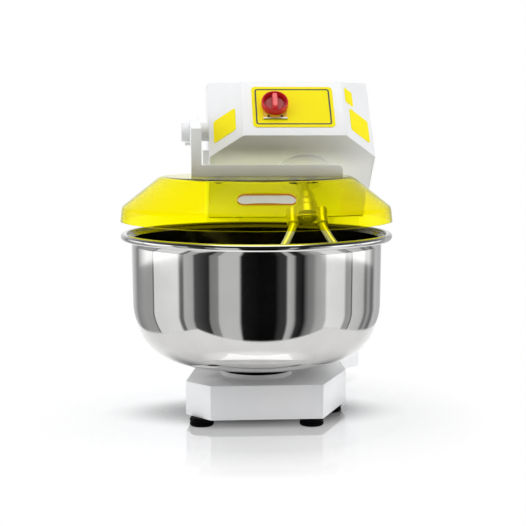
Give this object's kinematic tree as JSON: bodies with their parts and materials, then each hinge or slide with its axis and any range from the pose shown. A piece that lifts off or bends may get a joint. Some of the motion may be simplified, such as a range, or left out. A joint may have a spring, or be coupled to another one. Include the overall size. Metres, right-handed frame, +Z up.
{
  "type": "commercial dough mixer",
  "caption": "Free-standing fork dough mixer: turning steel bowl, tilted head with two-tine fork, hinged clear guard over the bowl, rotary switch on a sloped panel.",
  "frame": {"origin": "middle of the object's plan on the floor", "axes": "+Z up, +Y from the bowl towards the column at the back, +X to the right seen from the front"},
  "size_m": [0.53, 0.805, 0.66],
  "materials": {
    "white_powder_coat": "semi-gloss white powder coat",
    "polished_stainless": "mirror-polished stainless steel",
    "zinc_steel": "zinc-plated or turned steel",
    "yellow_polycarbonate": "clear yellow polycarbonate, glossy",
    "yellow_panel": "yellow printed film",
    "red_plastic": "moulded red plastic",
    "black_rubber": "moulded black rubber",
    "black_plastic": "matte black plastic",
    "light_plastic": "light grey moulded plastic",
    "grey_cast_iron": "painted cast iron and steel plate",
    "bronze": "cast bronze"
  },
  "bodies": {
    "root": {"base_frame": "white_powder_coat", "base_plate": "zinc_steel", "rubber_feet": "black_rubber", "foot_bolts": "zinc_steel", "bearing_collar": "white_powder_coat", "bowl_seal": "black_rubber", "bowl_bearings": "zinc_steel", "bowl_gearbox": "grey_cast_iron", "bowl_worm_bearings": "zinc_steel", "layshaft_bearings": "grey_cast_iron", "column_housing": "white_powder_coat", "rear_panel": "white_powder_coat", "rear_screws": "zinc_steel", "cable_gland": "black_plastic", "motor_mount": "grey_cast_iron", "motor_body": "grey_cast_iron", "motor_fan_cover": "grey_cast_iron", "head_housing": "white_powder_coat", "head_underplate": "white_powder_coat", "fork_gearbox": "grey_cast_iron", "fork_bearings": "zinc_steel", "fork_seal": "black_rubber", "fork_flange": "white_powder_coat", "fork_worm_bearings": "zinc_steel", "control_panel": "yellow_panel", "plain_labels": "yellow_panel", "switch_plate": "yellow_panel", "switch_shroud": "red_plastic", "switch_screws": "black_plastic", "switch_block": "black_plastic", "pivot_boss": "white_powder_coat", "guard_sensor": "light_plastic", "fork_belt": "black_rubber", "bowl_belt": "black_rubber", "drive_chain": "grey_cast_iron"},
    "bowl": {"bowl": "polished_stainless", "bowl_hub": "grey_cast_iron", "bowl_shaft": "zinc_steel", "bowl_wheel": "bronze", "bowl_bolts": "polished_stainless"},
    "fork": {"fork_shaft": "polished_stainless", "fork_hub": "polished_stainless", "fork_crossbar": "polished_stainless", "fork_tines": "polished_stainless", "fork_end_bolt": "polished_stainless", "fork_wheel": "bronze"},
    "guard": {"guard_shell": "yellow_polycarbonate", "guard_bar": "white_powder_coat", "guard_arm": "white_powder_coat", "guard_bolts": "zinc_steel", "pivot_pin": "zinc_steel", "pivot_knob": "light_plastic", "guard_magnet": "black_plastic", "arm_screw": "black_plastic"},
    "motor_shaft": {"motor_shaft": "zinc_steel"},
    "fork_worm": {"fork_worm": "zinc_steel"},
    "bowl_worm": {"bowl_worm": "zinc_steel"},
    "layshaft": {"layshaft": "zinc_steel"},
    "switch_knob": {"switch_knob": "red_plastic"}
  },
  "joints": [
    {"name": "bowl_spin", "type": "hinge", "parent": "root", "child": "bowl", "pos_m": [0, -0.1375, 0.11], "axis": [0, 0, 1], "continuous": true},
    {"name": "fork_spin", "type": "hinge", "parent": "root", "child": "fork", "pos_m": [0.113, 0.0655, 0.4695], "axis": [0, 0.6691, 0.7431], "continuous": true},
    {"name": "guard_hinge", "type": "hinge", "parent": "root", "child": "guard", "pos_m": [0, 0.1075, 0.555], "axis": [-1, 0, 0], "range_deg": [0, 75]},
    {"name": "motor_spin", "type": "hinge", "parent": "root", "child": "motor_shaft", "pos_m": [0.06, 0.2905, 0.25], "axis": [1, 0, 0], "continuous": true},
    {"name": "fork_worm_spin", "type": "hinge", "parent": "root", "child": "fork_worm", "pos_m": [0.113, 0.17142, 0.48178], "axis": [1, 0, 0], "continuous": true},
    {"name": "bowl_worm_spin", "type": "hinge", "parent": "root", "child": "bowl_worm", "pos_m": [0, -0.069, 0.054], "axis": [1, 0, 0], "continuous": true},
    {"name": "layshaft_spin", "type": "hinge", "parent": "root", "child": "layshaft", "pos_m": [-0.03, 0.3025, 0.054], "axis": [1, 0, 0], "continuous": true},
    {"name": "switch_turn", "type": "hinge", "parent": "root", "child": "switch_knob", "pos_m": [0.0485, 0.03036, 0.60771], "axis": [0, -0.7431, 0.6691], "range_deg": [0, 90]}
  ],
  "couplings": [
    {"joint": "fork_spin", "follows": "bowl_spin", "ratio": 3.2},
    {"joint": "motor_spin", "follows": "bowl_spin", "ratio": 30},
    {"joint": "fork_worm_spin", "follows": "bowl_spin", "ratio": 24},
    {"joint": "bowl_worm_spin", "follows": "bowl_spin", "ratio": 40},
    {"joint": "layshaft_spin", "follows": "bowl_spin", "ratio": 40}
  ]
}
